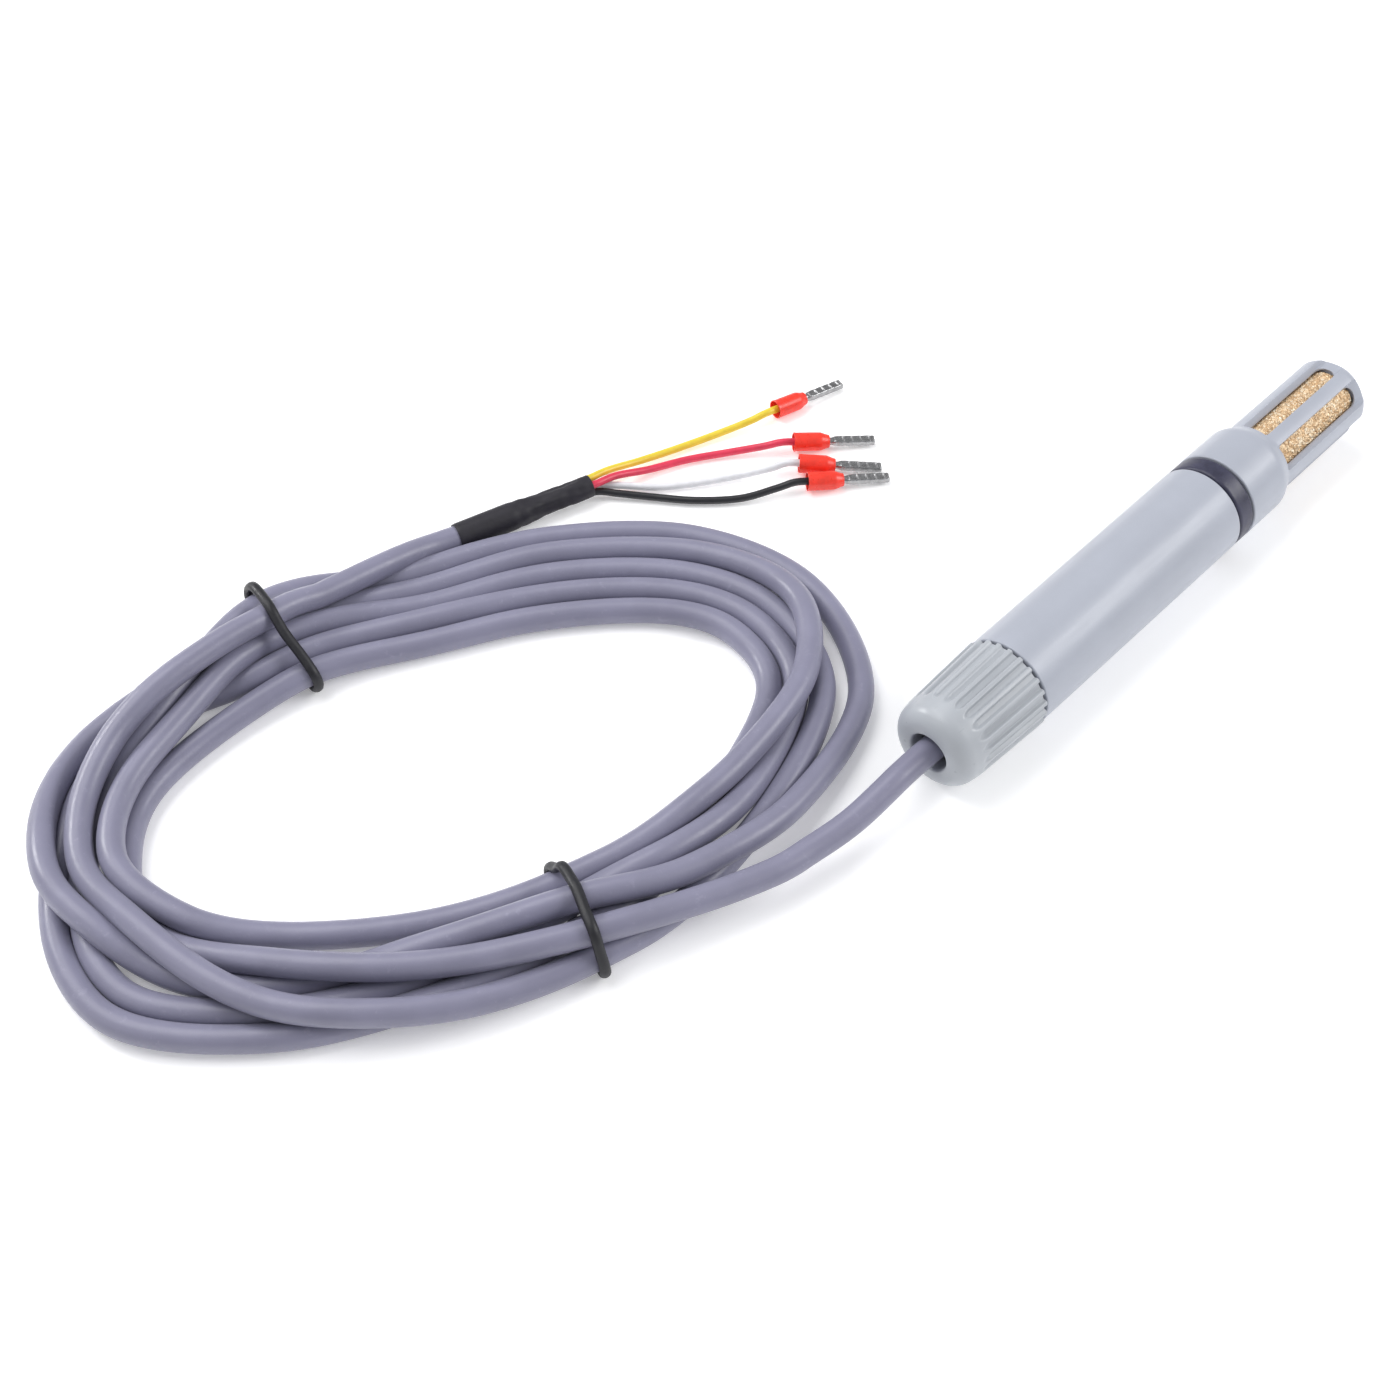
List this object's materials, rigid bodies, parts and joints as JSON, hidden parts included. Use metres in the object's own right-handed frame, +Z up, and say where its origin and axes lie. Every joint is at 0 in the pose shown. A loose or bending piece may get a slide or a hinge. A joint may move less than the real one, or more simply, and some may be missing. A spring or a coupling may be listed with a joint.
{
  "type": "soil moisture sensor",
  "caption": "Cable probe with a slotted cap over a sintered filter, a ribbed gland nut, and a coiled lead ending in ferruled wires.",
  "frame": {"origin": "under the middle of the probe, on the surface that it lies on", "axes": "+X along the probe towards its filter tip, +Z up from the surface"},
  "size_m": [0.2201, 0.1088, 0.0165],
  "materials": {
    "housing": "satin grey moulded plastic",
    "gland_nut": "fine matt grey moulded plastic",
    "nylon": "natural nylon",
    "rubber": "matt black rubber",
    "seal_ring": "satin black rubber",
    "bronze": "sintered bronze beads, sparkling and rough",
    "board": "green solder mask",
    "chip": "moulded black package",
    "capacitor": "tan ceramic with tinned ends",
    "tinned": "tinned copper, bright",
    "jacket": "smooth satin violet-grey cable jacket",
    "sleeve": "matt heat-shrink sleeve",
    "wire_yellow": "yellow wire insulation",
    "wire_red": "red wire insulation",
    "wire_white": "white wire insulation",
    "wire_black": "black wire insulation",
    "ferrule": "red translucent polypropylene collar"
  },
  "bodies": {
    "housing": {"probe_tube": "housing", "gland_seal": "rubber", "sensor_board": "board", "board_holder": "nylon", "cable_clamp": "tinned", "humidity_sensor": "chip", "microcontroller": "chip", "voltage_regulator": "chip", "capacitor_1": "capacitor", "capacitor_2": "capacitor", "board_wire_yellow": "wire_yellow", "board_wire_red": "wire_red", "board_wire_white": "wire_white", "board_wire_black": "wire_black", "cable_lead": "jacket", "cable_coil": "jacket", "cable_tail": "jacket", "tie_lower": "rubber", "tie_upper": "rubber", "heat_shrink": "sleeve", "conductor_yellow": "wire_yellow", "conductor_red": "wire_red", "conductor_white": "wire_white", "conductor_black": "wire_black", "ferrule_collar_yellow": "ferrule", "ferrule_collar_red": "ferrule", "ferrule_collar_white": "ferrule", "ferrule_collar_black": "ferrule", "ferrule_pin_yellow": "tinned", "ferrule_pin_red": "tinned", "ferrule_pin_white": "tinned", "ferrule_pin_black": "tinned"},
    "gland_slip": {"slip_washer": "nylon"},
    "gland": {"gland_nut": "gland_nut"},
    "cap_seal": {"seal_ring": "seal_ring"},
    "cap": {"filter_cap": "housing", "sintered_filter": "bronze"}
  },
  "joints": [
    {"name": "nut_travel", "type": "slide", "parent": "housing", "child": "gland_slip", "axis": [-1, 0, 0], "range_m": [0, 0.006]},
    {"name": "nut_turn", "type": "hinge", "parent": "gland_slip", "child": "gland", "pos_m": [-0.046, 0, 0.00825], "axis": [-1, 0, 0], "range_deg": [0, 1440]},
    {"name": "cap_travel", "type": "slide", "parent": "housing", "child": "cap_seal", "axis": [1, 0, 0], "range_m": [0, 0.006]},
    {"name": "cap_turn", "type": "hinge", "parent": "cap_seal", "child": "cap", "pos_m": [0.03, 0, 0.00825], "axis": [1, 0, 0], "range_deg": [0, 1440]}
  ],
  "couplings": [
    {"joint": "nut_travel", "follows": "nut_turn", "m_per_rad": 0.00023873},
    {"joint": "cap_travel", "follows": "cap_turn", "m_per_rad": 0.00023873}
  ]
}
